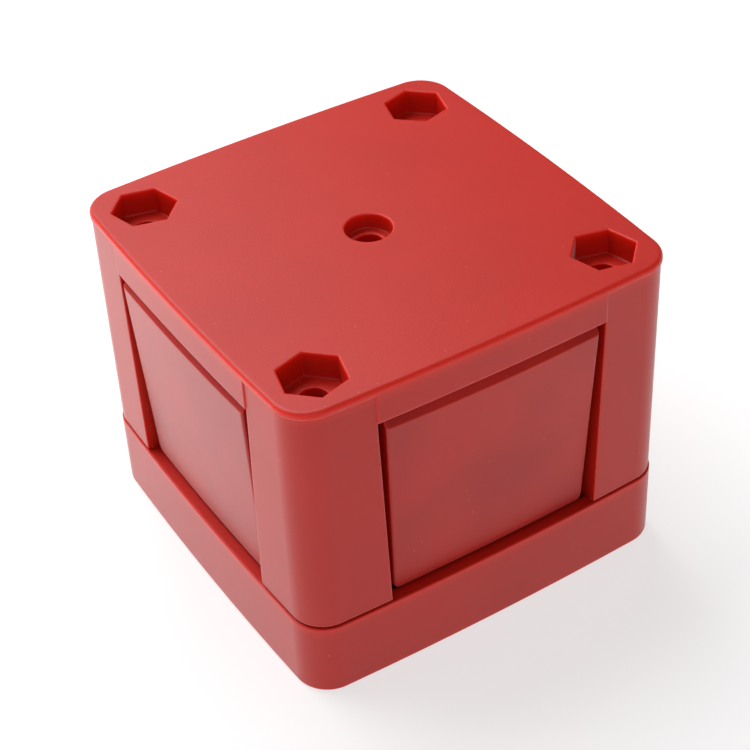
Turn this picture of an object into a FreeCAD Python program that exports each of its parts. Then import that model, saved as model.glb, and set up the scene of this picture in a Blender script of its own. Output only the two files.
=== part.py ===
import FreeCAD, Part
import math
import os

# Four-sided push-plate fire alarm box, a moulded cube on a shallow base.
# Frame: +Z up, origin at the centre of the underside, front is -Y. Millimetres.

V = FreeCAD.Vector
UP = V(0, 0, 1)

# Box outline in plan: four slightly bowed sides joined by round corners.
box_width = 100.0
side_bow = 1.2
corner_radius = 8.5
box_height = 82.0
base_height = 20.0
rim_fillet = 1.0
foot_fillet = 0.8
edge_fillet = 0.3
shadow_gap = 0.7
shadow_depth = 1.6

# Upper housing.
wall = 3.0
core_wall = 2.5
header_height = 9.0
post_recess = 0.3
rim_band = 1.6
jamb_half_top = 29.5
jamb_half_foot = 28.0
post_solid_height = 16.0
rib_thickness = 2.0
rib_height = 6.0

# Fixing holes: four hexagon recesses at the corners and one counterbore in the middle.
mouth_chamfer = 0.25
recess_fillet = 0.4
bolt_spacing = 75.0
bolt_hole_radius = 3.3
hex_across_flats = 13.4
hex_depth = 6.3
counterbore_radius = 5.5
counterbore_depth = 4.0
column_wall = 2.7
centre_boss_wall = 3.0

# Screws that join base and housing from below.
screw_offset = 42.9
screw_radius = 1.5
screw_head_radius = 2.7
screw_head_height = 2.2
screw_length = 14.0
screw_clearance = 0.3
deck_thickness = 3.0
cross_slot_reach = 0.7
cross_slot_half = 0.14

# Push flaps and their hinge pins.
flap_half_top = 27.6
flap_half_foot = 26.0
flap_thickness = 2.5
flap_skirt_depth = 6.5
flap_corner_radius = 1.8
flap_bevel = 2.2
flap_edge_fillet = 0.6
flap_foot_gap = 1.0
flap_header_gap = 0.5
flap_lean = 3.0
flap_press = 4.0
pin_radius = 1.5
pin_depth = 6.5
pin_drop = 11.0
pin_end_gap = 1.5
knuckle_radius = 2.8
web_step = 0.2
lug_inner = 18.0
lug_width = 4.0
lug_gap = 0.4
lug_front = 2.6
lug_back = 3.3
tail_half_width = 8.0
tail_height = 6.2
tail_thickness = 2.0
stop_clearance = 0.3

# Running fits and small gaps. Cutting tools and roots of ribs run past by the spill.
spill = 1.0
running_fit = 0.06
pin_fit = 0.02
snap_bite = 0.225
soft_gap = 0.3

# Plungers, their guides and return springs.
plunger_height = 34.0
plunger_radius = 2.0
plunger_head_radius = 4.0
plunger_head_length = 2.4
plunger_dome_radius = 8.0
pad_half = 5.0
pad_depth = 6.8
guide_radius = 4.0
guide_length = 6.0
clip_radius = 2.7
clip_thickness = 0.6
clip_play = 0.2
groove_depth = 0.4
groove_gap = 0.1
clip_mouth = 2.4
spring_wire_radius = 0.35
spring_mean_radius = 3.0
spring_turns = 5.0
spring_seat_gap = 0.1

# Black carrier that holds the switches.
carrier_half = 27.0
carrier_wall = 2.5
carrier_top = 46.0
plate_thickness = 2.0
plate_gap = 0.3
gasket_thickness = 1.5
ledge_width = 3.0
rim_wall = 3.5
floor_thickness = 3.0

# Circuit board and what stands on it.
board_half = 23.5
board_thickness = 1.6
board_top = 31.0
board_screw_offset = 20.5
board_boss_radius = 3.0
board_screw_radius = 1.25
board_screw_head_radius = 2.3
board_screw_head_height = 1.6
board_screw_length = 9.0
carrier_screw_offset = 32.0
carrier_boss_radius = 3.5
carrier_screw_length = 9.0

# Microswitches: body, pivoted lever and button.
switch_length = 12.8
switch_depth = 6.5
switch_height = 5.8
switch_face = 17.0
switch_end = 3.6
lever_plane = 19.6
lever_thickness = 0.5
lever_width = 4.0
lever_pivot = 15.4
lever_overhang = 1.5
lever_barrel_radius = 0.75
lever_pin_radius = 0.4
lever_pin_root = 0.1
lever_gap = 0.2
ear_thickness = 0.8
button_from_pivot = 4.4
button_radius = 0.8
button_gap = 0.15
button_sink = 2.0
button_room = 1.0

# Terminals, resistors and the cable entry.
terminal_ways = 5
terminal_pitch = 5.0
terminal_depth = 8.0
terminal_height = 10.0
terminal_offset = 13.5
terminal_screw_radius = 1.6
terminal_screw_sink = 1.0
terminal_slot_half = 0.25
terminal_slot_depth = 0.8
wire_hole_radius = 1.4
resistor_radius = 1.2
resistor_length = 6.5
resistor_start = 6.0
lead_reach = 1.5
resistor_offset = 13.0
resistor_pitch = 5.0
resistor_lead_radius = 0.35
entry_offset = 15.0
entry_hole_radius = 8.25
grommet_bore_radius = 4.5
grommet_flange = 2.0
grommet_flange_height = 1.5
grommet_rise = 0.2

SIDES = (("front", 0), ("right", 90), ("back", 180), ("left", 270))
CORNERS = ((1, 1), (-1, 1), (-1, -1), (1, -1))
HOUSING_SCREW = (screw_radius, screw_head_radius, screw_head_height)
BOARD_SCREW = (board_screw_radius, board_screw_head_radius, board_screw_head_height)

half = box_width / 2.0
pin_height = box_height - pin_drop
pin_plane = -(half - pin_depth)
header_foot = box_height - header_height
header_inside = half - wall
roof = box_height - wall
bolt_at = bolt_spacing / 2.0
hex_floor = box_height - hex_depth
column_radius = bolt_hole_radius + column_wall
post_ceiling = box_height - post_solid_height
carrier_plate_foot = base_height - plate_thickness
ledge_top = carrier_plate_foot - gasket_thickness
board_foot = board_top - board_thickness
lug_outer = lug_inner + lug_width
pin_half_length = flap_half_top - pin_end_gap
pad_plane = -(half - pad_depth)
plunger_nose = pad_plane + soft_gap
plunger_head_back = plunger_nose + plunger_head_length
guide_mouth = -(carrier_half + guide_length)
carrier_inside = carrier_half - carrier_wall
clip_plane = -carrier_inside + clip_play
plunger_tip = -(lever_plane + lever_thickness / 2.0 + lever_gap)


def box(x0, x1, y0, y1, z0, z1):
    """A block between two corners."""
    return Part.makeBox(x1 - x0, y1 - y0, z1 - z0, V(x0, y0, z0))


def rod(radius, start, end):
    """A round bar from one point to another."""
    axis = end - start
    return Part.makeCylinder(radius, axis.Length, start, axis)


def upright(radius, x, y, z0, z1):
    """A round bar standing on z0 and reaching z1."""
    return rod(radius, V(x, y, z0), V(x, y, z1))


def turned(shape, degrees):
    """A copy turned about the box's vertical axis."""
    copy = shape.copy()
    copy.rotate(V(0, 0, 0), UP, degrees)
    return copy


def save(name, shape):
    """Writes one named piece."""
    solids = shape.Solids
    good = shape.isValid() and len(solids) > 0
    print(f"{name:22s} solids {len(solids)} valid {good} volume {shape.Volume:.1f}")
    if len(solids) == 1:
        shape = solids[0]
    shape.exportStep(f"parts/{name}.step")


def outline(inset):
    """The box's plan face: bowed sides and round corners, drawn in by inset."""
    reach = half - inset
    chord = half - side_bow
    bow_radius = (chord * chord + side_bow * side_bow) / (2.0 * side_bow) - inset
    bow_centre = bow_radius - reach
    round_radius = corner_radius - inset
    # The corner's centre lies on the diagonal, where the two arcs are tangent.
    span = bow_radius - round_radius
    corner = (math.sqrt(2.0 * span * span - bow_centre * bow_centre) - bow_centre) / 2.0
    away = V(-corner, -corner - bow_centre, 0)
    away.normalize()
    tangent = V(0, bow_centre, 0) + away * bow_radius
    middle = V(0, -reach, 0)
    mirror = V(-tangent.x, tangent.y, 0)
    diagonal = V(1, -1, 0)
    diagonal.normalize()
    bulge = V(corner, -corner, 0) + diagonal * round_radius
    follow = V(-tangent.y, -mirror.x, 0)
    side = Part.Arc(tangent, middle, mirror).toShape()
    bend = Part.Arc(mirror, bulge, follow).toShape()
    edges = []
    for name, degrees in SIDES:
        edges.append(turned(side, degrees))
        edges.append(turned(bend, degrees))
    return Part.Face(Part.Wire(Part.__sortEdges__(edges)))


def slab(inset, z0, z1):
    """The outline drawn in by inset and raised from z0 to z1."""
    face = outline(inset)
    face.translate(V(0, 0, z0))
    return face.extrude(V(0, 0, z1 - z0))


def level_edges(shape, height):
    """The edges that lie flat at one height."""
    near = 1e-3
    found = []
    for edge in shape.Edges:
        limits = edge.BoundBox
        if abs(limits.ZMin - height) < near and abs(limits.ZMax - height) < near:
            found.append(edge)
    return found


def corner_zone(x, y, inner, z0, z1):
    """The quarter of the plan beyond inner, at the corner whose signs are x and y."""
    xs = sorted((x * inner, x * box_width))
    ys = sorted((y * inner, y * box_width))
    return box(xs[0], xs[1], ys[0], ys[1], z0, z1)


def cross(reach, arm, z0, z1):
    """A plus-shaped block: two bars of half-width arm, inside the plan drawn in by reach."""
    along = box(-arm, arm, -box_width, box_width, z0, z1)
    both = along.fuse(turned(along, 90))
    return slab(reach, z0, z1).common(both)


def hexagon_wire(x, y, apothem, z):
    """A hexagon outline with two flats square to the diagonal through the box's centre."""
    radius = 2.0 * apothem / math.sqrt(3.0)
    first = math.atan2(y, x) + math.pi / 6.0
    points = []
    for index in range(7):
        angle = first + index * math.pi / 3.0
        points.append(V(x + radius * math.cos(angle), y + radius * math.sin(angle), z))
    return Part.makePolygon(points)


def hexagon(x, y):
    """The space of one hexagon recess: rounded at its floor and chamfered at its mouth."""
    apothem = hex_across_flats / 2.0
    prism = Part.Face(hexagon_wire(x, y, apothem, hex_floor)).extrude(V(0, 0, hex_depth))
    prism = prism.makeFillet(recess_fillet, level_edges(prism, hex_floor))
    low = hexagon_wire(x, y, apothem, box_height - mouth_chamfer)
    high = hexagon_wire(x, y, apothem + mouth_chamfer + spill, box_height + spill)
    return prism.fuse(Part.makeLoft([low, high], True))


def round_recess(radius, floor, top):
    """The space of a round recess in the box's middle, with the same floor and mouth."""
    bore = upright(radius, 0, 0, floor, top)
    bore = bore.makeFillet(recess_fillet, level_edges(bore, floor))
    return bore.fuse(round_mouth(radius, 0, 0, top))


def round_mouth(radius, x, y, top):
    """A chamfer round a hole's mouth at height top."""
    reach = mouth_chamfer + spill
    return Part.makeCone(radius, radius + reach, reach, V(x, y, top - mouth_chamfer))


def window(z0, z1):
    """A tapered opening through two opposite sides, from z0 up to z1."""
    slope = (jamb_half_top - jamb_half_foot) / (header_foot - base_height)
    low = jamb_half_foot + slope * (z0 - base_height)
    high = jamb_half_foot + slope * (z1 - base_height)
    corners = [V(-low, 0, z0), V(low, 0, z0), V(high, 0, z1), V(-high, 0, z1), V(-low, 0, z0)]
    face = Part.Face(Part.makePolygon(corners))
    face.translate(V(0, -box_width, 0))
    return face.extrude(V(0, 2.0 * box_width, 0))


def header_lug(side):
    """A hinge lug behind the header, with a snap-in seat that opens downwards."""
    inner = side * lug_inner
    outer = side * lug_outer
    x0 = min(inner, outer)
    x1 = max(inner, outer)
    foot = pin_height - pin_radius - core_wall / 2.0
    lug = box(x0, x1, pin_plane - lug_front, pin_plane + lug_back, foot, roof + spill)
    seat_radius = pin_radius + running_fit
    seat = rod(seat_radius, V(x0 - spill, pin_plane, pin_height), V(x1 + spill, pin_plane, pin_height))
    mouth = pin_radius - snap_bite
    slot = box(x0 - spill, x1 + spill, pin_plane - mouth, pin_plane + mouth, foot - spill, pin_height)
    return lug.cut(seat).cut(slot)


def tail_planes():
    """Outer and inner plane of the flap's tail, which meets its stops above the pin."""
    swing = tail_height * math.sin(math.radians(flap_press))
    outer = -header_inside + swing + stop_clearance
    return outer, outer + tail_thickness


def upper_housing():
    """Top plate, four corner posts and four headers in one moulding."""
    body = slab(0, base_height, box_height)
    body = body.makeFillet(rim_fillet, level_edges(body, box_height))
    # Below the rim the posts stand back a little from the headers.
    post_top = box_height - rim_band
    skin = slab(-spill, base_height - spill, post_top).cut(slab(post_recess, base_height - spill, post_top))
    zones = [corner_zone(x, y, jamb_half_top, header_foot, post_top) for x, y in CORNERS]
    for x, y in CORNERS:
        inner = jamb_half_foot - spill
        zones.append(corner_zone(x, y, inner, base_height - spill, header_foot))
    body = body.cut(skin.common(zones[0].multiFuse(zones[1:])))

    opening = window(base_height - spill, header_foot)
    body = body.cut(opening).cut(turned(opening, 90))
    room = box(-jamb_half_top, jamb_half_top, -header_inside, header_inside, header_foot - spill, roof)
    body = body.cut(room).cut(turned(room, 90))

    ring = slab(-spill, base_height - spill, base_height + shadow_gap)
    body = body.cut(ring.cut(slab(shadow_depth, base_height - spill, base_height + shadow_gap)))

    # Posts are cored from below and keep a column for the bolt and a boss for the screw.
    cored = []
    extras = []
    for x, y in CORNERS:
        zone = corner_zone(x, y, jamb_half_top + core_wall, base_height - spill, post_ceiling)
        hollow = slab(core_wall + shadow_depth, base_height - spill, post_ceiling).common(zone)
        hollow = hollow.cut(upright(column_radius, x * bolt_at, y * bolt_at, 0, box_height))
        boss_radius = screw_radius + screw_clearance + wall / 2.0
        boss = upright(boss_radius, x * screw_offset, y * screw_offset, 0, box_height)
        cored.append(hollow.cut(boss))
    body = body.cut(cored[0].multiFuse(cored[1:]))

    boss_foot = box_height - counterbore_depth - centre_boss_wall
    boss = upright(counterbore_radius + centre_boss_wall, 0, 0, boss_foot, roof + spill)
    extras.append(boss)
    extras.append(upright(column_radius, 0, 0, carrier_top, roof + spill))
    reach = math.sqrt(2.0) * (jamb_half_top + spill)
    rib = box(-reach, reach, -rib_thickness / 2, rib_thickness / 2, roof - rib_height, roof + spill)
    extras.append(turned(rib, 45))
    extras.append(turned(rib, 135))
    stop_face = tail_planes()[1] + stop_clearance
    for name, degrees in SIDES:
        for side in (-1, 1):
            extras.append(turned(header_lug(side), degrees))
        stop_foot = pin_height + tail_height / 2
        stop_back = stop_face + rib_thickness
        stop = box(-tail_half_width, tail_half_width, stop_face, stop_back, stop_foot, roof + spill)
        extras.append(turned(stop, degrees))
    body = body.multiFuse(extras)

    counterbore_floor = box_height - counterbore_depth
    holes = [round_recess(counterbore_radius, counterbore_floor, box_height)]
    holes.append(round_mouth(bolt_hole_radius, 0, 0, counterbore_floor))
    holes.append(upright(bolt_hole_radius, 0, 0, 0, box_height + spill))
    for x, y in CORNERS:
        holes.append(hexagon(x * bolt_at, y * bolt_at))
        holes.append(upright(bolt_hole_radius, x * bolt_at, y * bolt_at, 0, box_height))
        pilot_top = base_height + screw_length
        holes.append(upright(screw_radius + pin_fit, x * screw_offset, y * screw_offset, 0, pilot_top))
    return body.cut(holes[0].multiFuse(holes[1:])).removeSplitter()


def base_housing():
    """Shallow tray with four cored corner decks that carry the posts."""
    body = slab(0, 0, base_height)
    body = body.makeFillet(foot_fillet, level_edges(body, 0))
    body = body.makeFillet(edge_fillet, level_edges(body, base_height))
    body = body.cut(cross(rim_wall, jamb_half_foot, ledge_top, base_height + spill))
    ledge_arm = jamb_half_foot - ledge_width
    body = body.cut(cross(rim_wall + ledge_width, ledge_arm, floor_thickness, base_height))

    deck_foot = base_height - deck_thickness
    for x, y in CORNERS:
        zone = corner_zone(x, y, jamb_half_foot + core_wall, -spill, deck_foot)
        hollow = slab(core_wall, -spill, deck_foot).common(zone)
        hollow = hollow.cut(upright(column_radius, x * bolt_at, y * bolt_at, -spill, base_height))
        boss_radius = screw_head_radius + screw_clearance + wall / 2.0
        hollow = hollow.cut(upright(boss_radius, x * screw_offset, y * screw_offset, -spill, base_height))
        body = body.cut(hollow)

    bosses = [upright(column_radius, 0, 0, floor_thickness - spill, carrier_plate_foot)]
    for name, degrees in SIDES:
        boss_foot = floor_thickness - spill
        spot = upright(carrier_boss_radius, 0, -carrier_screw_offset, boss_foot, carrier_plate_foot)
        bosses.append(turned(spot, degrees))
    body = body.multiFuse(bosses)

    holes = [upright(bolt_hole_radius, 0, 0, -spill, base_height + spill)]
    holes.append(upright(entry_hole_radius, -entry_offset, -entry_offset, -spill, floor_thickness + spill))
    for name, degrees in SIDES:
        foot = carrier_plate_foot - carrier_screw_length
        pilot = upright(screw_radius + pin_fit, 0, -carrier_screw_offset, foot, base_height)
        holes.append(turned(pilot, degrees))
    for x, y in CORNERS:
        holes.append(upright(bolt_hole_radius, x * bolt_at, y * bolt_at, -spill, base_height + spill))
        head = screw_head_radius + screw_clearance
        holes.append(upright(head, x * screw_offset, y * screw_offset, -spill, deck_foot))
        shank = screw_radius + screw_clearance
        holes.append(upright(shank, x * screw_offset, y * screw_offset, -spill, base_height + spill))
    return body.cut(holes[0].multiFuse(holes[1:])).removeSplitter()


def flap_blank():
    """The flap's outer block in its upright pose: bowed face, tapered sides, round foot corners."""
    foot = base_height + flap_foot_gap
    top = header_foot - flap_header_gap
    corners = [V(-flap_half_foot, 0, foot), V(flap_half_foot, 0, foot)]
    corners += [V(flap_half_top, 0, top), V(-flap_half_top, 0, top), V(-flap_half_foot, 0, foot)]
    shield = Part.Face(Part.makePolygon(corners)).extrude(V(0, half, 0))
    shield.translate(V(0, -half - spill, 0))
    round_edges = []
    for edge in shield.Edges:
        limits = edge.BoundBox
        if limits.YLength > 1 and limits.ZLength < 1 and abs(limits.ZMin - foot) < 1e-3:
            round_edges.append(edge)
    shield = shield.makeFillet(flap_corner_radius, round_edges)
    skirt_plane = -half + flap_skirt_depth
    depth = box(-half, half, -half - spill, skirt_plane, 0, box_height)
    blank = slab(0, 0, box_height).common(depth).common(shield)
    # Bevel along the head, so that the flap turns clear of the header.
    low = top - flap_bevel
    wedge_points = [V(-half, -half - spill, low - spill), V(-half, -half - spill, top + spill)]
    wedge_points += [V(-half, -half + flap_bevel + spill, top + spill), V(-half, -half - spill, low - spill)]
    wedge = Part.Face(Part.makePolygon(wedge_points)).extrude(V(box_width, 0, 0))
    blank = blank.cut(wedge)
    face_edges = []
    for edge in blank.Edges:
        limits = edge.BoundBox
        on_face = limits.YMax < -half + side_bow and limits.ZMax < low + 1e-3
        if on_face:
            face_edges.append(edge)
    return blank.makeFillet(flap_edge_fillet, face_edges)


def flap():
    """One push flap: a bowed plate with skirts, hinge knuckles, a tail and a plunger pad."""
    blank = flap_blank()
    foot = base_height + flap_foot_gap
    top = header_foot - flap_header_gap
    inner = flap_thickness
    corners = [V(-flap_half_foot + inner, 0, foot + inner), V(flap_half_foot - inner, 0, foot + inner)]
    head = top - flap_bevel - flap_thickness
    corners += [V(flap_half_top - inner, 0, head), V(-flap_half_top + inner, 0, head)]
    corners += [V(-flap_half_foot + inner, 0, foot + inner)]
    pocket = Part.Face(Part.makePolygon(corners)).extrude(V(0, half, 0))
    pocket.translate(V(0, -half, 0))
    pocket = pocket.common(slab(flap_thickness, 0, box_height))
    body = blank.cut(pocket)

    # Clear the header lugs, then add the knuckles between and beside them.
    extras = []
    spans = [(-lug_inner + lug_gap, lug_inner - lug_gap)]
    spans.append((lug_outer + lug_gap, pin_half_length))
    spans.append((-pin_half_length, -lug_outer - lug_gap))
    bevel_foot = top - flap_bevel
    for side in (-1, 1):
        xs = sorted((side * (lug_inner - lug_gap), side * (lug_outer + lug_gap)))
        body = body.cut(box(xs[0], xs[1], -half + flap_thickness, 0, head - knuckle_radius, bevel_foot))
        lug_clear = pin_plane - lug_front - 2 * soft_gap
        body = body.cut(box(xs[0], xs[1], lug_clear, 0, bevel_foot - spill, header_foot + spill))
    for x0, x1 in spans:
        extras.append(rod(knuckle_radius, V(x0, pin_plane, pin_height), V(x1, pin_plane, pin_height)))
        web_foot = pin_height - knuckle_radius
        extras.append(box(x0, x1, -half + flap_bevel + spill, pin_plane, web_foot, top - web_step))
    body = body.multiFuse(extras)
    bore_radius = pin_radius + pin_fit
    bore = rod(bore_radius, V(-half, pin_plane, pin_height), V(half, pin_plane, pin_height))
    body.rotate(V(0, pin_plane, pin_height), V(1, 0, 0), flap_lean)

    # The tail and the pad are square to the box when the flap is at rest.
    tail_out, tail_in = tail_planes()
    tail_top = pin_height + tail_height
    tail = box(-tail_half_width, tail_half_width, tail_out, tail_in, pin_height, tail_top)
    low = plunger_height - pad_half
    high = plunger_height + pad_half
    lean_shift = (pin_height - low) * math.sin(math.radians(flap_lean))
    plate_middle = -half + flap_thickness / 2 + lean_shift
    pad = box(-pad_half, pad_half, plate_middle, pad_plane, low, high)
    return body.multiFuse([tail, pad]).cut(bore).removeSplitter()


def hinge_pin():
    """Plain steel pin through the knuckles and lugs of one flap."""
    start = V(-pin_half_length, pin_plane, pin_height)
    pin = rod(pin_radius, start, V(pin_half_length, pin_plane, pin_height))
    return pin.makeChamfer(edge_fillet, [e for e in pin.Edges if e.BoundBox.XLength < 1e-3])


def plunger():
    """Push rod with a domed head, a clip groove and a round tip."""
    z = plunger_height
    tip_centre = plunger_tip - plunger_radius
    stem = rod(plunger_radius, V(0, plunger_head_back - spill, z), V(0, tip_centre, z))
    tip = Part.makeSphere(plunger_radius, V(0, tip_centre, z))
    head = rod(plunger_head_radius, V(0, plunger_nose, z), V(0, plunger_head_back, z))
    dome = Part.makeSphere(plunger_dome_radius, V(0, plunger_nose + plunger_dome_radius, z))
    body = stem.multiFuse([tip, head.common(dome)])
    width = clip_thickness + 2 * groove_gap
    start = V(0, clip_plane - groove_gap, z)
    end = V(0, clip_plane - groove_gap + width, z)
    collar = rod(plunger_radius + spill, start, end).cut(rod(plunger_radius - groove_depth, start, end))
    return body.cut(collar).removeSplitter()


def plunger_clip():
    """Spring clip that keeps one plunger in its guide."""
    z = plunger_height
    start = V(0, clip_plane, z)
    end = V(0, clip_plane + clip_thickness, z)
    ring = rod(clip_radius, start, end).cut(rod(plunger_radius - groove_depth + groove_gap, start, end))
    far = z + clip_radius + spill
    mouth = box(-clip_mouth / 2, clip_mouth / 2, clip_plane - spill, clip_plane + spill, z, far)
    return ring.cut(mouth)


def return_spring():
    """Compression spring between the plunger's head and its guide."""
    inset = spring_wire_radius + spring_seat_gap
    start = plunger_head_back + inset
    length = guide_mouth - inset - start
    helix = Part.makeHelix(length / spring_turns, length, spring_mean_radius)
    section = Part.Wire(Part.makeCircle(spring_wire_radius, V(spring_mean_radius, 0, 0), V(0, 1, 0)))
    coil = Part.Wire(helix.Edges).makePipeShell([section], True, True)
    coil.rotate(V(0, 0, 0), V(1, 0, 0), -90)
    coil.translate(V(0, start, plunger_height))
    return coil


def switch_carrier():
    """Black cross-shaped plate with a box for the switches and four plunger guides."""
    foot = carrier_plate_foot
    plate = cross(rim_wall + plate_gap, jamb_half_foot - plate_gap, foot, base_height)
    body = plate.fuse(box(-carrier_half, carrier_half, -carrier_half, carrier_half, foot, carrier_top))
    upper_edges = [e for e in body.Edges if abs(e.BoundBox.ZMin - carrier_top) < 1e-3]
    body = body.makeFillet(rim_fillet, upper_edges)
    ceiling = carrier_top - carrier_wall
    room = box(-carrier_inside, carrier_inside, -carrier_inside, carrier_inside, 0, ceiling)
    body = body.cut(room)
    extras = [upright(column_radius, 0, 0, carrier_plate_foot, carrier_top)]
    for x, y in CORNERS:
        spot = board_screw_offset
        extras.append(upright(board_boss_radius, x * spot, y * spot, board_top, carrier_top - spill))
    holes = [upright(bolt_hole_radius, 0, 0, 0, box_height)]
    for x, y in CORNERS:
        pilot_top = board_foot + board_screw_length
        spot = board_screw_offset
        holes.append(upright(board_screw_radius + pin_fit, x * spot, y * spot, 0, pilot_top))
    for name, degrees in SIDES:
        z = plunger_height
        guide = rod(guide_radius, V(0, guide_mouth, z), V(0, -carrier_inside, z))
        extras.append(turned(guide, degrees))
        bore_radius = plunger_radius + running_fit
        bore = rod(bore_radius, V(0, guide_mouth - spill, z), V(0, -carrier_inside + spill, z))
        holes.append(turned(bore, degrees))
        shank = screw_radius + screw_clearance
        screw_hole = upright(shank, 0, -carrier_screw_offset, 0, base_height + spill)
        holes.append(turned(screw_hole, degrees))
    return body.multiFuse(extras).cut(holes[0].multiFuse(holes[1:])).removeSplitter()


def carrier_gasket():
    """Flat rubber ring between the carrier's plate and the base's ledge."""
    top = carrier_plate_foot
    outer = cross(rim_wall + plate_gap, jamb_half_foot - plate_gap, ledge_top, top)
    inner = cross(rim_wall + ledge_width, jamb_half_foot - ledge_width, ledge_top - spill, top + spill)
    return outer.cut(inner)


def circuit_board():
    """Square board under the carrier's bosses, with a hole for the centre column."""
    board = box(-board_half, board_half, -board_half, board_half, board_foot, board_top)
    hole = column_radius + soft_gap
    board = board.cut(upright(hole, 0, 0, board_foot - spill, board_top + spill))
    for x, y in CORNERS:
        spot = board_screw_offset
        shank = board_screw_radius + screw_clearance
        board = board.cut(upright(shank, x * spot, y * spot, board_foot - spill, board_top + spill))
    return board


def screw(x, y, seat, length, sizes, way):
    """A pan-head screw: its head rests at seat and its shank runs along way (+1 up, -1 down)."""
    shank_radius, head_radius, head_height = sizes
    head_far = seat - way * head_height
    head = upright(head_radius, x, y, min(seat, head_far), max(seat, head_far))
    rim = level_edges(head, head_far)
    head = head.makeFillet(head_height / 3.0, rim)
    tip = seat + way * length
    shank = upright(shank_radius, x, y, min(seat, tip), max(seat, tip))
    slot_depth = head_height / 2.0
    slot_end = head_far + way * slot_depth
    low = min(head_far, slot_end)
    high = max(head_far, slot_end)
    across = head_radius * cross_slot_reach
    thin = head_radius * cross_slot_half
    body = head.fuse(shank)
    body = body.cut(box(x - across, x + across, y - thin, y + thin, low, high))
    return body.cut(box(x - thin, x + thin, y - across, y + across, low, high))


def housing_screws():
    """Four screws from below through the base's decks into the posts."""
    seat = base_height - deck_thickness
    found = []
    for x, y in CORNERS:
        spot_x = x * screw_offset
        spot_y = y * screw_offset
        found.append(screw(spot_x, spot_y, seat, screw_length, HOUSING_SCREW, 1))
    return Part.makeCompound(found)


def carrier_screws():
    """Four screws that hold the carrier's plate down on the base's bosses."""
    found = []
    for name, degrees in SIDES:
        piece = screw(0, -carrier_screw_offset, base_height, carrier_screw_length, HOUSING_SCREW, -1)
        found.append(turned(piece, degrees))
    return Part.makeCompound(found)


def board_screws():
    """Four small screws from below that hold the board to the carrier's bosses."""
    found = []
    for x, y in CORNERS:
        spot_x = x * board_screw_offset
        spot_y = y * board_screw_offset
        found.append(screw(spot_x, spot_y, board_foot, board_screw_length, BOARD_SCREW, 1))
    return Part.makeCompound(found)


def microswitch():
    """Switch body on the board, with two ears and a pivot pin for its lever."""
    x1 = -switch_end
    x0 = x1 - switch_length
    z1 = board_top + switch_height
    body = box(x0, x1, -switch_face, -switch_face + switch_depth, board_top, z1)
    middle = plunger_height
    lever_low = middle - lever_width / 2 - lever_gap
    lever_high = middle + lever_width / 2 + lever_gap
    ear_reach = lever_plane + lever_barrel_radius
    ear_side = lever_barrel_radius + lever_gap
    x2 = -lever_pivot - ear_side
    x3 = -lever_pivot + ear_side
    extras = [box(x2, x3, -ear_reach, -switch_face + spill, lever_low - ear_thickness, lever_low)]
    extras.append(box(x2, x3, -ear_reach, -switch_face + spill, lever_high, lever_high + ear_thickness))
    pin_foot = lever_low - lever_pin_root
    pin_top = lever_high + lever_pin_root
    extras.append(upright(lever_pin_radius, -lever_pivot, -lever_plane, pin_foot, pin_top))
    shaft = button_radius + running_fit
    x = -lever_pivot + button_from_pivot
    hole = rod(shaft, V(x, -switch_face - spill, middle), V(x, -switch_face + button_sink, middle))
    return body.multiFuse(extras).cut(hole).removeSplitter()


def switch_lever():
    """Thin steel lever that turns on the switch's ears and lies under the plunger's tip."""
    z0 = plunger_height - lever_width / 2
    z1 = plunger_height + lever_width / 2
    y0 = -lever_plane - lever_thickness / 2
    y1 = -lever_plane + lever_thickness / 2
    blade = box(-lever_pivot, lever_overhang, y0, y1, z0, z1)
    barrel = upright(lever_barrel_radius, -lever_pivot, -lever_plane, z0, z1)
    bore = upright(lever_pin_radius + running_fit, -lever_pivot, -lever_plane, z0 - spill, z1 + spill)
    return blade.fuse(barrel).cut(bore).removeSplitter()


def switch_button():
    """Round button that the lever presses into the switch."""
    x = -lever_pivot + button_from_pivot
    top = -lever_plane + lever_thickness / 2 + button_gap
    centre = V(x, top + button_radius, plunger_height)
    stem = rod(button_radius, centre, V(x, -switch_face + button_sink - button_room, plunger_height))
    return stem.fuse(Part.makeSphere(button_radius, centre)).removeSplitter()


def terminal_block():
    """Row of screw terminals under the board."""
    reach = terminal_ways * terminal_pitch / 2.0
    y0 = terminal_offset - terminal_depth / 2
    y1 = terminal_offset + terminal_depth / 2
    foot = board_foot - terminal_height
    block = box(-reach, reach, y0, y1, foot, board_foot)
    for way in range(terminal_ways):
        x = -reach + terminal_pitch * (way + 0.5)
        well = terminal_screw_radius + screw_clearance
        block = block.cut(upright(well, x, terminal_offset, foot - spill, foot + terminal_height / 2))
        start = V(x, y1 + spill, board_foot - terminal_height / 4)
        end = V(x, terminal_offset, board_foot - terminal_height / 4)
        block = block.cut(rod(wire_hole_radius, start, end))
    return block


def terminal_screws():
    """Slotted screws in the terminal block's wells."""
    reach = terminal_ways * terminal_pitch / 2.0
    foot = board_foot - terminal_height
    found = []
    for way in range(terminal_ways):
        x = -reach + terminal_pitch * (way + 0.5)
        top = foot + terminal_height / 2
        low = foot + terminal_screw_sink
        body = upright(terminal_screw_radius, x, terminal_offset, low, top)
        y0 = terminal_offset - terminal_slot_half
        y1 = terminal_offset + terminal_slot_half
        x0 = x - terminal_screw_radius
        x1 = x + terminal_screw_radius
        slot = box(x0, x1, y0, y1, low, low + terminal_slot_depth)
        found.append(body.cut(slot))
    return Part.makeCompound(found)


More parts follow.
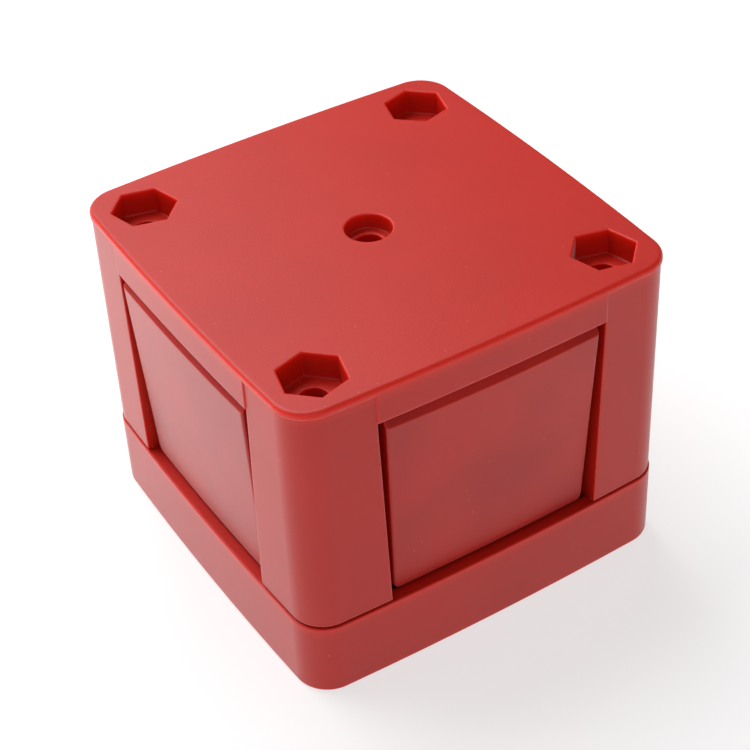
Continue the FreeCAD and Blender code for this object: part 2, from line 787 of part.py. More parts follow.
def line_resistors():
    """Two resistors under the board, each with both leads."""
    found = []
    depth = board_foot - resistor_radius - soft_gap
    for row in (0, 1):
        y = -resistor_offset + row * resistor_pitch - resistor_pitch / 2
        end = resistor_start + resistor_length
        body = rod(resistor_radius, V(resistor_start, y, depth), V(end, y, depth))
        reach = resistor_length / 2 + lead_reach
        middle = resistor_start + resistor_length / 2
        wire = rod(resistor_lead_radius, V(middle - reach, y, depth), V(middle + reach, y, depth))
        pieces = [wire]
        for side in (-1, 1):
            pieces.append(upright(resistor_lead_radius, middle + side * reach, y, depth, board_foot))
            pieces.append(Part.makeSphere(resistor_lead_radius, V(middle + side * reach, y, depth)))
        found.append(body.multiFuse(pieces).removeSplitter())
    return Part.makeCompound(found)


def cable_grommet():
    """Rubber grommet in the base's floor, for the line cable."""
    x = -entry_offset
    y = -entry_offset
    flange_radius = entry_hole_radius + grommet_flange
    top = floor_thickness + grommet_flange_height
    neck = upright(entry_hole_radius - pin_fit, x, y, grommet_rise, top)
    flange = upright(flange_radius, x, y, floor_thickness, top)
    body = neck.fuse(flange)
    return body.cut(upright(grommet_bore_radius, x, y, -spill, top + spill)).removeSplitter()


os.makedirs("parts", exist_ok=True)

save("upper_housing", upper_housing())
save("base_housing", base_housing())
save("switch_carrier", switch_carrier())
save("carrier_gasket", carrier_gasket())
save("circuit_board", circuit_board())
save("terminal_block", terminal_block())
save("terminal_screws", terminal_screws())
save("line_resistors", line_resistors())
save("cable_grommet", cable_grommet())
save("housing_screws", housing_screws())
save("carrier_screws", carrier_screws())
save("board_screws", board_screws())

PER_SIDE = (
    ("flap", flap),
    ("hinge_pin", hinge_pin),
    ("plunger", plunger),
    ("plunger_clip", plunger_clip),
    ("return_spring", return_spring),
    ("microswitch", microswitch),
    ("switch_lever", switch_lever),
    ("switch_button", switch_button),
)
for name, make in PER_SIDE:
    front = make()
    for side, degrees in SIDES:
        save(f"{name}_{side}", turned(front, degrees))
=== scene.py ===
import math

import bmesh
import bpy
from mathutils import Matrix, Quaternion, Vector


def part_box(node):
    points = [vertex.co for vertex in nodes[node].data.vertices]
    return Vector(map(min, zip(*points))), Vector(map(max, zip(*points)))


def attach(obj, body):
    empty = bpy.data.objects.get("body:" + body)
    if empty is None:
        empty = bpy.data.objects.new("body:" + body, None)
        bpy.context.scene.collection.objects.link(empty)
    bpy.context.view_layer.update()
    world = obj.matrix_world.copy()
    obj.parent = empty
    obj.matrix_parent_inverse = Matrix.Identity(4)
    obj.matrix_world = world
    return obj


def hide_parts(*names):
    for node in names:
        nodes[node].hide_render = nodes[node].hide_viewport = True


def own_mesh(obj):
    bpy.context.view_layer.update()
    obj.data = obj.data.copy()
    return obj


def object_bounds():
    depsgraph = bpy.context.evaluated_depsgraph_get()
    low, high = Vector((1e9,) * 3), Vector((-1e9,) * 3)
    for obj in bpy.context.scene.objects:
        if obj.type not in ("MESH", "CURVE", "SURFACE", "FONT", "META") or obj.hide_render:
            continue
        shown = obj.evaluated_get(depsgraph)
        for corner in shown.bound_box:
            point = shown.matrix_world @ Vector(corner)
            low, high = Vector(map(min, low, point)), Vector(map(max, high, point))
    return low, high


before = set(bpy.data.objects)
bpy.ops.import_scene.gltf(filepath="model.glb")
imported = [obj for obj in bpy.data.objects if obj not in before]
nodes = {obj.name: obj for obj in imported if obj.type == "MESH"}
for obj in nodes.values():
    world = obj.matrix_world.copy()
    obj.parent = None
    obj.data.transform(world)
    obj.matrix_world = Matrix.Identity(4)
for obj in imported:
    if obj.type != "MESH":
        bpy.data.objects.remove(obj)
cad_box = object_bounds()


# The base: a shallow tray of flame-red ABS, injection moulded. The tool was spark eroded,
# which leaves a fine matt grain with pin-point craters on level faces. The walls were drawn
# smoother, and the moulding cooled with faint sink clouds in its colour.
MM = 0.001


def linear(code):
    """An sRGB hex colour as linear red, green, blue and alpha."""
    parts = [int(code[i:i + 2], 16) / 255 for i in (1, 3, 5)]
    bent = [p / 12.92 if p <= 0.04045 else ((p + 0.055) / 1.055) ** 2.4 for p in parts]
    return (*bent, 1.0)


def add(tree, kind, settings, links=()):
    """Adds a node to a material, with its properties, socket values and incoming links."""
    made = tree.nodes.new(kind)
    for name, value in settings.items():
        if isinstance(name, int) or name in made.inputs:
            made.inputs[name].default_value = value
        else:
            setattr(made, name, value)
    for name, source in dict(links).items():
        tree.links.new(source, made.inputs[name])
    return made


def blank_material(name):
    """An empty node material, with its output and the piece's own coordinates."""
    material = bpy.data.materials.new(name)
    material.use_nodes = True
    tree = material.node_tree
    tree.nodes.clear()
    output = tree.nodes.new("ShaderNodeOutputMaterial")
    place = tree.nodes.new("ShaderNodeTexCoord").outputs["Object"]
    return material, tree, output, place


def clouded_red(tree, place, base, deep):
    """Two reds in soft sink clouds, with a few pale specks of lint that were moulded in."""
    cloud_size = 26 * MM
    lint_spacing = 4.5 * MM
    speck_radius = 0.03
    clouds = add(tree, "ShaderNodeTexNoise", {"Scale": 1 / cloud_size, "Detail": 2.0}, {
        "Vector": place})
    cloud_mask = add(tree, "ShaderNodeMapRange", {"From Min": 0.38, "From Max": 0.66}, {
        "Value": clouds.outputs["Fac"]})
    colour = add(tree, "ShaderNodeMix", {
        "data_type": "RGBA", 6: linear(base), 7: linear(deep)}, {
        "Factor": cloud_mask.outputs["Result"]})
    lint = add(tree, "ShaderNodeTexVoronoi", {"Scale": 1 / lint_spacing}, {"Vector": place})
    lint_mask = add(tree, "ShaderNodeMath", {"operation": "LESS_THAN", 1: speck_radius}, {
        0: lint.outputs["Distance"]})
    specked = add(tree, "ShaderNodeMix", {"data_type": "RGBA", 7: linear("#dd7f72")}, {
        "Factor": lint_mask.outputs["Value"], 6: colour.outputs[2]})
    return specked.outputs[2]


def eroded_relief(tree, place, normal, grain_mm, wall_share):
    """Grain and craters as a height. Level faces take all of it, and walls a share."""
    crater_spacing = 3.0 * grain_mm * MM
    crater_weight = 0.8
    upward = add(tree, "ShaderNodeMapRange", {
        "From Min": 0.6, "From Max": 0.9, "To Min": wall_share, "To Max": 1.0}, {
        "Value": normal.outputs["Z"]})
    grain = add(tree, "ShaderNodeTexNoise", {
        "Scale": 1 / (grain_mm * MM), "Detail": 3.0, "Roughness": 0.65}, {"Vector": place})
    craters = add(tree, "ShaderNodeTexVoronoi", {"Scale": 1 / crater_spacing}, {
        "Vector": place})
    crater = add(tree, "ShaderNodeMapRange", {"From Max": 0.22, "To Min": 1.0, "To Max": 0.0}, {
        "Value": craters.outputs["Distance"]})
    height = add(tree, "ShaderNodeMath", {"operation": "MULTIPLY_ADD", 1: crater_weight}, {
        0: crater.outputs["Result"], 2: grain.outputs["Fac"]})
    scaled = add(tree, "ShaderNodeMath", {"operation": "MULTIPLY"}, {
        0: height.outputs["Value"], 1: upward.outputs["Result"]})
    return grain.outputs["Fac"], scaled.outputs["Value"]


def painted_edge_glow(tree, place, facing, normal, rounded, red, brim):
    """Painted glow and highlight: edges and the walls just under the brim get a clearer,
    brighter red painted into the colour, standing in for the light the plastic lets through."""
    glow_depth = 5 * MM
    fading = 2.5
    turned = add(tree, "ShaderNodeVectorMath", {"operation": "DOT_PRODUCT"}, {
        0: rounded.outputs["Normal"], 1: facing.outputs["Normal"]})
    edge = add(tree, "ShaderNodeMapRange", {
        "From Min": 0.99, "From Max": 0.85, "To Max": 0.85}, {"Value": turned.outputs["Value"]})
    at = add(tree, "ShaderNodeSeparateXYZ", {}, {"Vector": place})
    under_brim = add(tree, "ShaderNodeMapRange", {
        "From Min": brim - glow_depth, "From Max": brim}, {"Value": at.outputs["Z"]})
    falling = add(tree, "ShaderNodeMath", {"operation": "POWER", 1: fading}, {
        0: under_brim.outputs["Result"]})
    painted_brim_glow = add(tree, "ShaderNodeMapRange", {"From Min": 0.97, "From Max": 0.5}, {
        "Value": normal.outputs["Z"], "To Max": falling.outputs["Value"]})
    painted_glow_mask = add(tree, "ShaderNodeMath", {"operation": "MAXIMUM"}, {
        0: edge.outputs["Result"], 1: painted_brim_glow.outputs["Result"]})
    # The painted glow colour: a brighter red laid over the edges and the brim band.
    painted_glow_colour = add(tree, "ShaderNodeMix", {"data_type": "RGBA", 7: linear("#f8260a")}, {
        "Factor": painted_glow_mask.outputs["Value"], 6: red})
    return painted_glow_colour.outputs[2]


def outer_bloom(tree, place, facing):
    """A faint bloom that whitens at grazing angles the walls that face away from the middle."""
    recess_reach = 40 * MM
    wall_reach = 45 * MM
    level = add(tree, "ShaderNodeVectorMath", {"operation": "MULTIPLY", 1: (1.0, 1.0, 0.0)}, {
        0: facing.outputs["Normal"]})
    reach = add(tree, "ShaderNodeVectorMath", {"operation": "DOT_PRODUCT"}, {
        0: level.outputs["Vector"], 1: place})
    bloom = add(tree, "ShaderNodeMapRange", {
        "From Min": recess_reach, "From Max": wall_reach, "To Max": 0.5}, {
        "Value": reach.outputs["Value"]})
    return bloom.outputs["Result"]


def moulded_abs(name, brim, base, deep, roughness, grain_mm, grain_height_mm, wall_share):
    """Spark-eroded ABS: grain and craters as bump, with sink clouds, lint and a painted edge
    glow as colour.
    """
    material, tree, output, place = blank_material(name)
    red = clouded_red(tree, place, base, deep)
    facing = add(tree, "ShaderNodeNewGeometry", {})
    normal = add(tree, "ShaderNodeSeparateXYZ", {}, {"Vector": facing.outputs["Normal"]})
    grain, relief = eroded_relief(tree, place, normal, grain_mm, wall_share)
    # Moulded edges are never sharp: a shaded radius catches the light along them.
    edge_radius = 0.6 * MM
    rounded = add(tree, "ShaderNodeBevel", {"samples": 6, "Radius": edge_radius})
    # Painted highlight: a brighter red is painted along edges and on the walls under the brim.
    painted_glow_colour = painted_edge_glow(tree, place, facing, normal, rounded, red, brim)
    bump = add(tree, "ShaderNodeBump", {"Strength": 1.0, "Distance": grain_height_mm * MM}, {
        "Height": relief, "Normal": rounded.outputs["Normal"]})
    gloss = add(tree, "ShaderNodeMapRange", {
        "To Min": roughness - 0.06, "To Max": roughness + 0.08}, {"Value": grain})
    bloom = outer_bloom(tree, place, facing)
    light_depth = 2.2 * MM
    shader = add(tree, "ShaderNodeBsdfPrincipled", {
        "IOR": 1.46, "Sheen Roughness": 0.35, "Subsurface Weight": 0.5,
        "Subsurface Scale": light_depth, "Subsurface Radius": (1.0, 0.06, 0.02)}, {
        "Sheen Weight": bloom, "Base Color": painted_glow_colour, "Roughness": gloss.outputs["Result"],
        "Normal": bump.outputs["Normal"]})
    tree.links.new(shader.outputs[0], output.inputs["Surface"])
    return material


def finish_node(node, material):
    """Gives a CAD node one material."""
    slots = nodes[node].data.materials
    slots.clear()
    slots.append(material)


shell_finish = {"base": "#c71c0a", "deep": "#c21a09", "roughness": 0.44, "grain_mm": 0.34,
                "grain_height_mm": 0.032, "wall_share": 0.55}
# The brim of the painted glow is set 1 mm over the base's top, so the painted red band there
# stays faint.
base_brim = 21 * MM
base_abs = moulded_abs("base_red_abs", base_brim, **shell_finish)
finish_node("base_housing", base_abs)


# The cable grommet and the gasket: black EPDM rubber, pressed in a blasted mould. It is dull
# and slightly dusty, and shows a soft uneven grain.
def rubber(name, base, dust):
    """Dull moulded rubber with a bloom of dust."""
    material, tree, output, place = blank_material(name)
    dust_patch = 4 * MM
    grain_size = 0.25 * MM
    grain_height = 0.02 * MM
    bloom = add(tree, "ShaderNodeTexNoise", {"Scale": 1 / dust_patch, "Detail": 4.0}, {
        "Vector": place})
    colour = add(tree, "ShaderNodeMix", {
        "data_type": "RGBA", 6: linear(base), 7: linear(dust)}, {
        "Factor": bloom.outputs["Fac"]})
    grain = add(tree, "ShaderNodeTexNoise", {"Scale": 1 / grain_size, "Detail": 3.0}, {
        "Vector": place})
    bump = add(tree, "ShaderNodeBump", {"Strength": 0.6, "Distance": grain_height}, {
        "Height": grain.outputs["Fac"]})
    gloss = add(tree, "ShaderNodeMapRange", {"To Min": 0.7, "To Max": 0.88}, {
        "Value": bloom.outputs["Fac"]})
    shader = add(tree, "ShaderNodeBsdfPrincipled", {"IOR": 1.5}, {
        "Base Color": colour.outputs[2], "Roughness": gloss.outputs["Result"],
        "Normal": bump.outputs["Normal"]})
    tree.links.new(shader.outputs[0], output.inputs["Surface"])
    return material


epdm = rubber("black_epdm_rubber", "#161617", "#262628")
finish_node("cable_grommet", epdm)
finish_node("carrier_gasket", epdm)


# The carrier: black glass-filled nylon. The glass leaves a dull satin with fine flow marks,
# so the openings behind the flaps read as a soft black and not as a void.
def satin_moulding(name, base, flow, roughness, grain_mm):
    """A satin engineering plastic with a fine grain and drawn-out flow marks."""
    material, tree, output, place = blank_material(name)
    flow_mark = 3 * MM
    edge_radius = 0.2 * MM
    grain_height = 0.012 * MM
    stretch = add(tree, "ShaderNodeMapping", {"Scale": (1.0, 1.0, 0.25)}, {"Vector": place})
    marks = add(tree, "ShaderNodeTexNoise", {"Scale": 1 / flow_mark, "Detail": 3.0}, {
        "Vector": stretch.outputs["Vector"]})
    colour = add(tree, "ShaderNodeMix", {
        "data_type": "RGBA", 6: linear(base), 7: linear(flow)}, {
        "Factor": marks.outputs["Fac"]})
    grain = add(tree, "ShaderNodeTexNoise", {
        "Scale": 1 / (grain_mm * MM), "Detail": 3.0}, {"Vector": place})
    rounded = add(tree, "ShaderNodeBevel", {"samples": 4, "Radius": edge_radius})
    bump = add(tree, "ShaderNodeBump", {"Strength": 0.7, "Distance": grain_height}, {
        "Height": grain.outputs["Fac"], "Normal": rounded.outputs["Normal"]})
    gloss = add(tree, "ShaderNodeMapRange", {
        "To Min": roughness - 0.08, "To Max": roughness + 0.08}, {
        "Value": marks.outputs["Fac"]})
    shader = add(tree, "ShaderNodeBsdfPrincipled", {"IOR": 1.53}, {
        "Base Color": colour.outputs[2], "Roughness": gloss.outputs["Result"],
        "Normal": bump.outputs["Normal"]})
    tree.links.new(shader.outputs[0], output.inputs["Surface"])
    return material


finish_node("switch_carrier", satin_moulding("black_nylon", "#0e0e0f", "#1b1b1d", 0.5, 0.3))


# The circuit board: glass-epoxy under green solder mask, with copper tracks that show as a
# paler green. Its sawn edges are bare and yellowish.
board_material, tree, output, place = blank_material("solder_mask_on_glass_epoxy")
track_pitch = 2.54 * MM
weave_pitch = 0.4 * MM
copper_height = 0.035 * MM
tracks = add(tree, "ShaderNodeTexBrick", {
    "Scale": 1 / track_pitch, "Color1": linear("#0c4a25"), "Color2": linear("#0f5a2d"),
    "Mortar": linear("#083619"), "Mortar Size": 0.12, "Row Height": 0.5,
    "Brick Width": 3.5, "Bias": 0.1}, {"Vector": place})
facing = add(tree, "ShaderNodeNewGeometry", {})
normal = add(tree, "ShaderNodeSeparateXYZ", {}, {"Vector": facing.outputs["Normal"]})
level = add(tree, "ShaderNodeMath", {"operation": "ABSOLUTE"}, {0: normal.outputs["Z"]})
is_face = add(tree, "ShaderNodeMath", {"operation": "GREATER_THAN", 1: 0.5}, {
    0: level.outputs["Value"]})
board_colour = add(tree, "ShaderNodeMix", {"data_type": "RGBA", 6: linear("#a8935a")}, {
    "Factor": is_face.outputs["Value"], 7: tracks.outputs["Color"]})
weave = add(tree, "ShaderNodeTexNoise", {"Scale": 1 / weave_pitch, "Detail": 2.0}, {
    "Vector": place})
relief = add(tree, "ShaderNodeMath", {"operation": "MULTIPLY_ADD", 1: 0.15}, {
    0: weave.outputs["Fac"], 2: tracks.outputs["Fac"]})
board_bump = add(tree, "ShaderNodeBump", {
    "Strength": 0.6, "Distance": copper_height, "invert": True}, {
    "Height": relief.outputs["Value"]})
board_gloss = add(tree, "ShaderNodeMapRange", {"To Min": 0.22, "To Max": 0.36}, {
    "Value": weave.outputs["Fac"]})
shader = add(tree, "ShaderNodeBsdfPrincipled", {"IOR": 1.52}, {
    "Base Color": board_colour.outputs[2], "Roughness": board_gloss.outputs["Result"],
    "Normal": board_bump.outputs["Normal"]})
tree.links.new(shader.outputs[0], output.inputs["Surface"])
finish_node("circuit_board", board_material)


# The terminal block: moulded green polyamide, glossier than the carrier. It hangs under the
# board and takes the wires of the alarm line.
finish_node("terminal_block", satin_moulding(
    "green_polyamide", "#14713a", "#1b8146", 0.36, 0.4))


# The screws: cold-headed steel with a bright zinc plating, which is slightly blue and
# mottled, and picks up fine turning and handling marks.
def worked_metal(name, base, tone, roughness, mark_mm, mark_height_mm,
                 stretch_to=(1.0, 1.0, 1.0)):
    """Bare or plated metal with fine marks, which stretch_to can draw out one way."""
    material, tree, output, place = blank_material(name)
    mottle_size = 1.5 * MM
    stretch = add(tree, "ShaderNodeMapping", {"Scale": stretch_to}, {"Vector": place})
    marks = add(tree, "ShaderNodeTexNoise", {
        "Scale": 1 / (mark_mm * MM), "Detail": 4.0}, {"Vector": stretch.outputs["Vector"]})
    mottle = add(tree, "ShaderNodeTexNoise", {"Scale": 1 / mottle_size, "Detail": 2.0}, {
        "Vector": place})
    colour = add(tree, "ShaderNodeMix", {
        "data_type": "RGBA", 6: linear(base), 7: linear(tone)}, {
        "Factor": mottle.outputs["Fac"]})
    bump = add(tree, "ShaderNodeBump", {"Strength": 0.5, "Distance": mark_height_mm * MM}, {
        "Height": marks.outputs["Fac"]})
    gloss = add(tree, "ShaderNodeMapRange", {
        "To Min": roughness - 0.07, "To Max": roughness + 0.1}, {
        "Value": marks.outputs["Fac"]})
    shader = add(tree, "ShaderNodeBsdfPrincipled", {"Metallic": 1.0}, {
        "Base Color": colour.outputs[2], "Roughness": gloss.outputs["Result"],
        "Normal": bump.outputs["Normal"]})
    tree.links.new(shader.outputs[0], output.inputs["Surface"])
    return material


bright_zinc = worked_metal("bright_zinc_on_steel", "#b4b8bd", "#c6c7c4", 0.3, 0.3, 0.01)
for node in ("terminal_screws", "carrier_screws", "board_screws", "housing_screws"):
    finish_node(node, bright_zinc)


# The resistors: a lacquered body with four colour bands, on leads of tinned copper. The two
# lie side by side under the board, along X, with a small gap to it.
resistor_material, tree, output, place = blank_material("banded_resistor_lacquer")
low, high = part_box("line_resistors")
body_radius = 1.2 * MM
body_start, body_end = 6 * MM, 12.5 * MM
board_gap = 0.3 * MM
lead_reach = 0.5 * MM
axis_height = high[2] - (body_radius + board_gap)
rows_middle = (low[1] + high[1]) / 2
row_offset = (high[1] - low[1]) / 2 - body_radius
at = add(tree, "ShaderNodeSeparateXYZ", {}, {"Vector": place})
bands = add(tree, "ShaderNodeMapRange", {"From Min": body_start, "From Max": body_end}, {
    "Value": at.outputs["X"]})
ramp = add(tree, "ShaderNodeValToRGB", {}, {"Fac": bands.outputs["Result"]})
ramp.color_ramp.interpolation = "CONSTANT"
band_stops = ((0.0, "#c7ab7c"), (0.18, "#6b3410"), (0.26, "#c7ab7c"), (0.36, "#161616"),
              (0.44, "#c7ab7c"), (0.54, "#a01c12"), (0.62, "#c7ab7c"), (0.78, "#a8842c"),
              (0.86, "#c7ab7c"))
while len(ramp.color_ramp.elements) < len(band_stops):
    ramp.color_ramp.elements.new(1.0)
for element, (stop, code) in zip(ramp.color_ramp.elements, band_stops):
    element.position = stop
    element.color = linear(code)
off_middle = add(tree, "ShaderNodeMath", {"operation": "SUBTRACT", 1: rows_middle}, {
    0: at.outputs["Y"]})
mirrored = add(tree, "ShaderNodeMath", {"operation": "ABSOLUTE"}, {
    0: off_middle.outputs["Value"]})
off_row = add(tree, "ShaderNodeMath", {"operation": "SUBTRACT", 1: row_offset}, {
    0: mirrored.outputs["Value"]})
off_height = add(tree, "ShaderNodeMath", {"operation": "SUBTRACT", 1: axis_height}, {
    0: at.outputs["Z"]})
from_axis = add(tree, "ShaderNodeCombineXYZ", {}, {
    "Y": off_row.outputs["Value"], "Z": off_height.outputs["Value"]})
radius = add(tree, "ShaderNodeVectorMath", {"operation": "LENGTH"}, {
    0: from_axis.outputs["Vector"]})
is_lead = add(tree, "ShaderNodeMath", {"operation": "LESS_THAN", 1: lead_reach}, {
    0: radius.outputs["Value"]})
resistor_colour = add(tree, "ShaderNodeMix", {"data_type": "RGBA", 7: linear("#c4c2bb")}, {
    "Factor": is_lead.outputs["Value"], 6: ramp.outputs["Color"]})
wrinkle = add(tree, "ShaderNodeTexNoise", {"Scale": 1 / (0.8 * MM)}, {"Vector": place})
resistor_bump = add(tree, "ShaderNodeBump", {"Strength": 0.4, "Distance": 0.02 * MM}, {
    "Height": wrinkle.outputs["Fac"]})
shader = add(tree, "ShaderNodeBsdfPrincipled", {"Roughness": 0.28, "IOR": 1.5}, {
    "Base Color": resistor_colour.outputs[2], "Metallic": is_lead.outputs["Value"],
    "Normal": resistor_bump.outputs["Normal"]})
tree.links.new(shader.outputs[0], output.inputs["Surface"])
finish_node("line_resistors", resistor_material)


# The microswitches: black PBT bodies, finer and smoother than the carrier, each on three
# flat tinned legs that go through the board and are soldered below it.
SIDES = ("front", "right", "back", "left")
scene = bpy.context.scene
switch_pbt = satin_moulding("black_pbt", "#131315", "#202022", 0.4, 0.2)
tinned = worked_metal("tinned_copper", "#c9c7c0", "#b3b0a8", 0.34, 0.4, 0.02, (1.0, 1.0, 0.2))
board_low, board_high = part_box("circuit_board")
switch_low, switch_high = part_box("microswitch_front")
leg_shape = Matrix.Diagonal((0.9 * MM, 0.5 * MM, 3.0 * MM, 1.0))
leg_row = (switch_low[1] + switch_high[1]) / 2 + 1.2 * MM
leg_middle = (board_low[2] + board_high[2]) / 2 - 0.9 * MM
first_leg_mm = 1.6
leg_pitch_mm = 4.8
solder_height = 0.8 * MM
solder_middle = board_low[2] - solder_height / 2


def soldered_leg(bm, leg_x):
    """One flat leg through the board, and the cone of solder that holds it below."""
    made = bmesh.ops.create_cube(
        bm, size=1.0, matrix=Matrix.Translation((leg_x, leg_row, leg_middle)) @ leg_shape)
    corners = {edge for vert in made["verts"] for edge in vert.link_edges}
    bmesh.ops.bevel(bm, geom=list(corners), offset=0.1 * MM, segments=2, profile=0.5,
                    affect="EDGES", material=-1)
    made = bmesh.ops.create_cone(
        bm, cap_ends=True, segments=20, radius1=0.55 * MM, radius2=1.1 * MM,
        depth=solder_height, matrix=Matrix.Translation((leg_x, leg_row, solder_middle)))
    rims = {edge for vert in made["verts"] for edge in vert.link_edges
            if abs(edge.verts[0].co.z - edge.verts[1].co.z) < 0.001 * MM}
    bmesh.ops.bevel(bm, geom=list(rims), offset=0.2 * MM, segments=3, profile=0.5,
                    affect="EDGES", material=-1)


for number, side in enumerate(SIDES):
    finish_node(f"microswitch_{side}", switch_pbt)
    bm = bmesh.new()
    for leg in range(3):
        soldered_leg(bm, switch_high[0] - (first_leg_mm + leg_pitch_mm * leg) * MM)
    bmesh.ops.rotate(bm, verts=bm.verts, cent=(0, 0, 0),
                     matrix=Matrix.Rotation(math.radians(90 * number), 3, "Z"))
    legs_mesh = bpy.data.meshes.new(f"switch_legs_{side}")
    bm.to_mesh(legs_mesh)
    bm.free()
    legs = bpy.data.objects.new(f"switch_legs_{side}", legs_mesh)
    scene.collection.objects.link(legs)
    legs_mesh.materials.append(tinned)
    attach(legs, "housing")


# The switch levers and their buttons: rolled stainless strip, with the rolling lines along
# it, on a glossy red PBT button.
rolled_strip = worked_metal("rolled_stainless_strip", "#b9b7b2", "#a9a8a5", 0.28, 0.15, 0.008,
                            (0.08, 1.0, 1.0))
button_pbt = satin_moulding("red_pbt", "#a3130f", "#8f100c", 0.25, 0.3)
for side in SIDES:
    finish_node(f"switch_lever_{side}", rolled_strip)
    finish_node(f"switch_button_{side}", button_pbt)


# The plungers: white acetal, turned from rod, with a waxy and slightly see-through body that
# is faintly mottled. Their clips and return springs are hard drawn spring wire.
acetal, tree, output, place = blank_material("white_acetal")
mottle = add(tree, "ShaderNodeTexNoise", {"Scale": 1 / (0.5 * MM), "Detail": 3.0}, {
    "Vector": place})
acetal_colour = add(tree, "ShaderNodeMix", {
    "data_type": "RGBA", 6: linear("#efece3"), 7: linear("#e2ded2")}, {
    "Factor": mottle.outputs["Fac"]})
acetal_bump = add(tree, "ShaderNodeBump", {"Strength": 0.4, "Distance": 0.01 * MM}, {
    "Height": mottle.outputs["Fac"]})
acetal_gloss = add(tree, "ShaderNodeMapRange", {"To Min": 0.28, "To Max": 0.5}, {
    "Value": mottle.outputs["Fac"]})
shader = add(tree, "ShaderNodeBsdfPrincipled", {
    "IOR": 1.48, "Subsurface Weight": 0.15, "Subsurface Scale": 1.0 * MM}, {
    "Base Color": acetal_colour.outputs[2], "Roughness": acetal_gloss.outputs["Result"],
    "Normal": acetal_bump.outputs["Normal"]})
tree.links.new(shader.outputs[0], output.inputs["Surface"])
spring_wire = worked_metal("drawn_spring_wire", "#a7a5a0", "#8f8d89", 0.32, 0.2, 0.01)
merge_distance = 0.002 * MM
for number, side in enumerate(SIDES):
    finish_node(f"plunger_{side}", acetal)
    finish_node(f"plunger_clip_{side}", spring_wire)
    finish_node(f"return_spring_{side}", spring_wire)
    # Each spring becomes a welded, smooth-shaded copy fixed to the housing, and the plain one
    # is hidden.
    node = nodes[f"return_spring_{side}"]
    bm = bmesh.new()
    bm.from_mesh(node.data)
    bm.transform(node.matrix_world)
    bmesh.ops.remove_doubles(bm, verts=bm.verts, dist=merge_distance)
    coil_mesh = bpy.data.meshes.new(f"spring_coil_{side}")
    bm.to_mesh(coil_mesh)
    bm.free()
    coil = bpy.data.objects.new(f"spring_coil_{side}", coil_mesh)
    scene.collection.objects.link(coil)
    coil_mesh.materials.append(spring_wire)
    coil_mesh.shade_smooth()
    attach(coil, "housing")
    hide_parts(f"return_spring_{side}")
    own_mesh(coil)


# The upper housing: top plate, posts and headers in one moulding, of the same red ABS and
# with the same tool finish as the base. Screws from below hold it to the base.
lid_height = cad_box[1][2]
# Its painted glow falls off downward from the lid's top.
upper_abs = moulded_abs("lid_red_abs", lid_height, **shell_finish)
finish_node("upper_housing", upper_abs)


# The push flaps on their ground steel pins. A flap is a thin plate from a smoother tool, so
# it is a little glossier and darker, and it cools with broad soft sink marks.
flap_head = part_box("flap_front")[1][2]
# Its painted glow falls off downward from the flap's head.
flap_abs = moulded_abs(
    "flap_red_abs", flap_head, base="#c41b0a", deep="#b4150a", roughness=0.42, grain_mm=0.36,
    grain_height_mm=0.018, wall_share=0.9)
ground_steel = worked_metal("ground_steel_pin", "#b6b7b9", "#a5a6a8", 0.22, 0.12, 0.006)
for side in SIDES:
    finish_node(f"hinge_pin_{side}", ground_steel)
    finish_node(f"flap_{side}", flap_abs)


# The floor: a wide pale sweep of matt board. Its emission is painted light: a faint glow,
# strongest beyond the left flap as a painted pool of light, so the ground stays nearly white.
floor_half = 4.0
floor_mesh = bpy.data.meshes.new("floor")
bm = bmesh.new()
bmesh.ops.create_grid(bm, x_segments=1, y_segments=1, size=floor_half)
bm.to_mesh(floor_mesh)
bm.free()
floor = bpy.data.objects.new("floor", floor_mesh)
scene.collection.objects.link(floor)
pale, tree, output, place = blank_material("pale_matt_board")
at = add(tree, "ShaderNodeSeparateXYZ", {}, {"Vector": place})
across = add(tree, "ShaderNodeMath", {"operation": "SUBTRACT"}, {
    0: at.outputs["Y"], 1: at.outputs["X"]})
painted_floor_glow = add(tree, "ShaderNodeMapRange", {
    "interpolation_type": "SMOOTHSTEP", "From Min": 0.05, "From Max": 0.45, "To Min": 0.63,
    "To Max": 1.4}, {"Value": across.outputs["Value"]})
shader = add(tree, "ShaderNodeBsdfPrincipled", {
    "Base Color": (0.45, 0.45, 0.45, 1.0), "Roughness": 0.9, "IOR": 1.0,
    "Emission Color": (1.0, 1.0, 1.0, 1.0)}, {"Emission Strength": painted_floor_glow.outputs["Result"]})
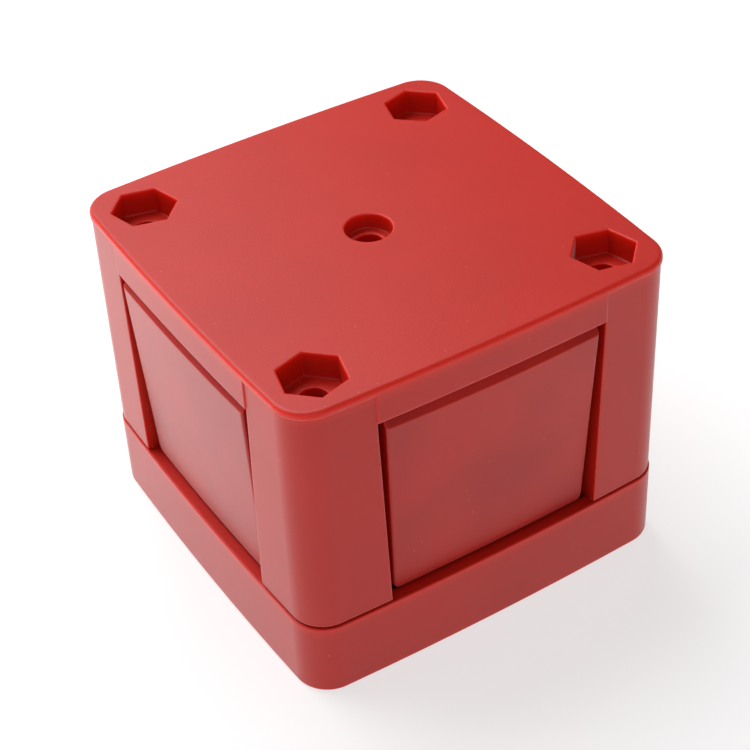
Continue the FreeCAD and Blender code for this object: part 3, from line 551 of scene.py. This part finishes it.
tree.links.new(shader.outputs[0], output.inputs["Surface"])
floor_mesh.materials.append(pale)


# Studio light: an even pale room and three soft boxes. The key hangs high behind the object,
# a weak low one further back is mirrored in the lid, and the last fills the near walls.
world = bpy.data.worlds.new("studio")
world.use_nodes = True
sky = world.node_tree.nodes["Background"]
sky.inputs["Color"].default_value = (1.0, 1.0, 1.0, 1.0)
room_strength = 0.20
# Seen directly, past the end of the floor, the room is white.
ray = world.node_tree.nodes.new("ShaderNodeLightPath")
room = add(world.node_tree, "ShaderNodeMapRange", {"To Min": room_strength, "To Max": 1.0}, {
    "Value": ray.outputs["Is Camera Ray"]})
world.node_tree.links.new(room.outputs["Result"], sky.inputs["Strength"])
scene.world = world


def soft_box(name, place, width, height, radiance):
    """A rectangular soft light of one brightness, turned towards the middle of the object."""
    aim = Vector((0, 0, 0.05))
    data = bpy.data.lights.new(name, "AREA")
    data.shape = "RECTANGLE"
    data.size = width
    data.size_y = height
    data.energy = radiance * math.pi * width * height
    lamp = bpy.data.objects.new(name, data)
    lamp.location = place
    lamp.rotation_euler = (aim - Vector(place)).to_track_quat("-Z", "Y").to_euler()
    scene.collection.objects.link(lamp)


soft_box("key_box", (-0.12, 0.50, 0.86), 0.9, 0.6, 5.4)
soft_box("back_box", (-0.10, 1.1, 0.42), 1.0, 0.6, 0.9)
soft_box("front_fill", (-0.35, -0.95, 0.85), 0.8, 0.8, 1.0)


# The camera looks down past the front left corner, with a long lens and a slight roll.
scene.view_settings.view_transform = "Standard"
camera_data = bpy.data.cameras.new("camera")
camera_data.sensor_width = 36.0
camera_data.lens = 91.6
camera_data.clip_end = 20.0
camera = bpy.data.objects.new("camera", camera_data)
camera.location = (-0.18069, -0.30496, 0.32698)
aim = Vector((-0.00142, -0.00181, 0.041))
look = (aim - camera.location).to_track_quat("-Z", "Y")
roll = math.radians(-3.05)
camera.rotation_mode = "QUATERNION"
camera.rotation_quaternion = look @ Quaternion((0, 0, 1), roll)
scene.collection.objects.link(camera)
scene.camera = camera
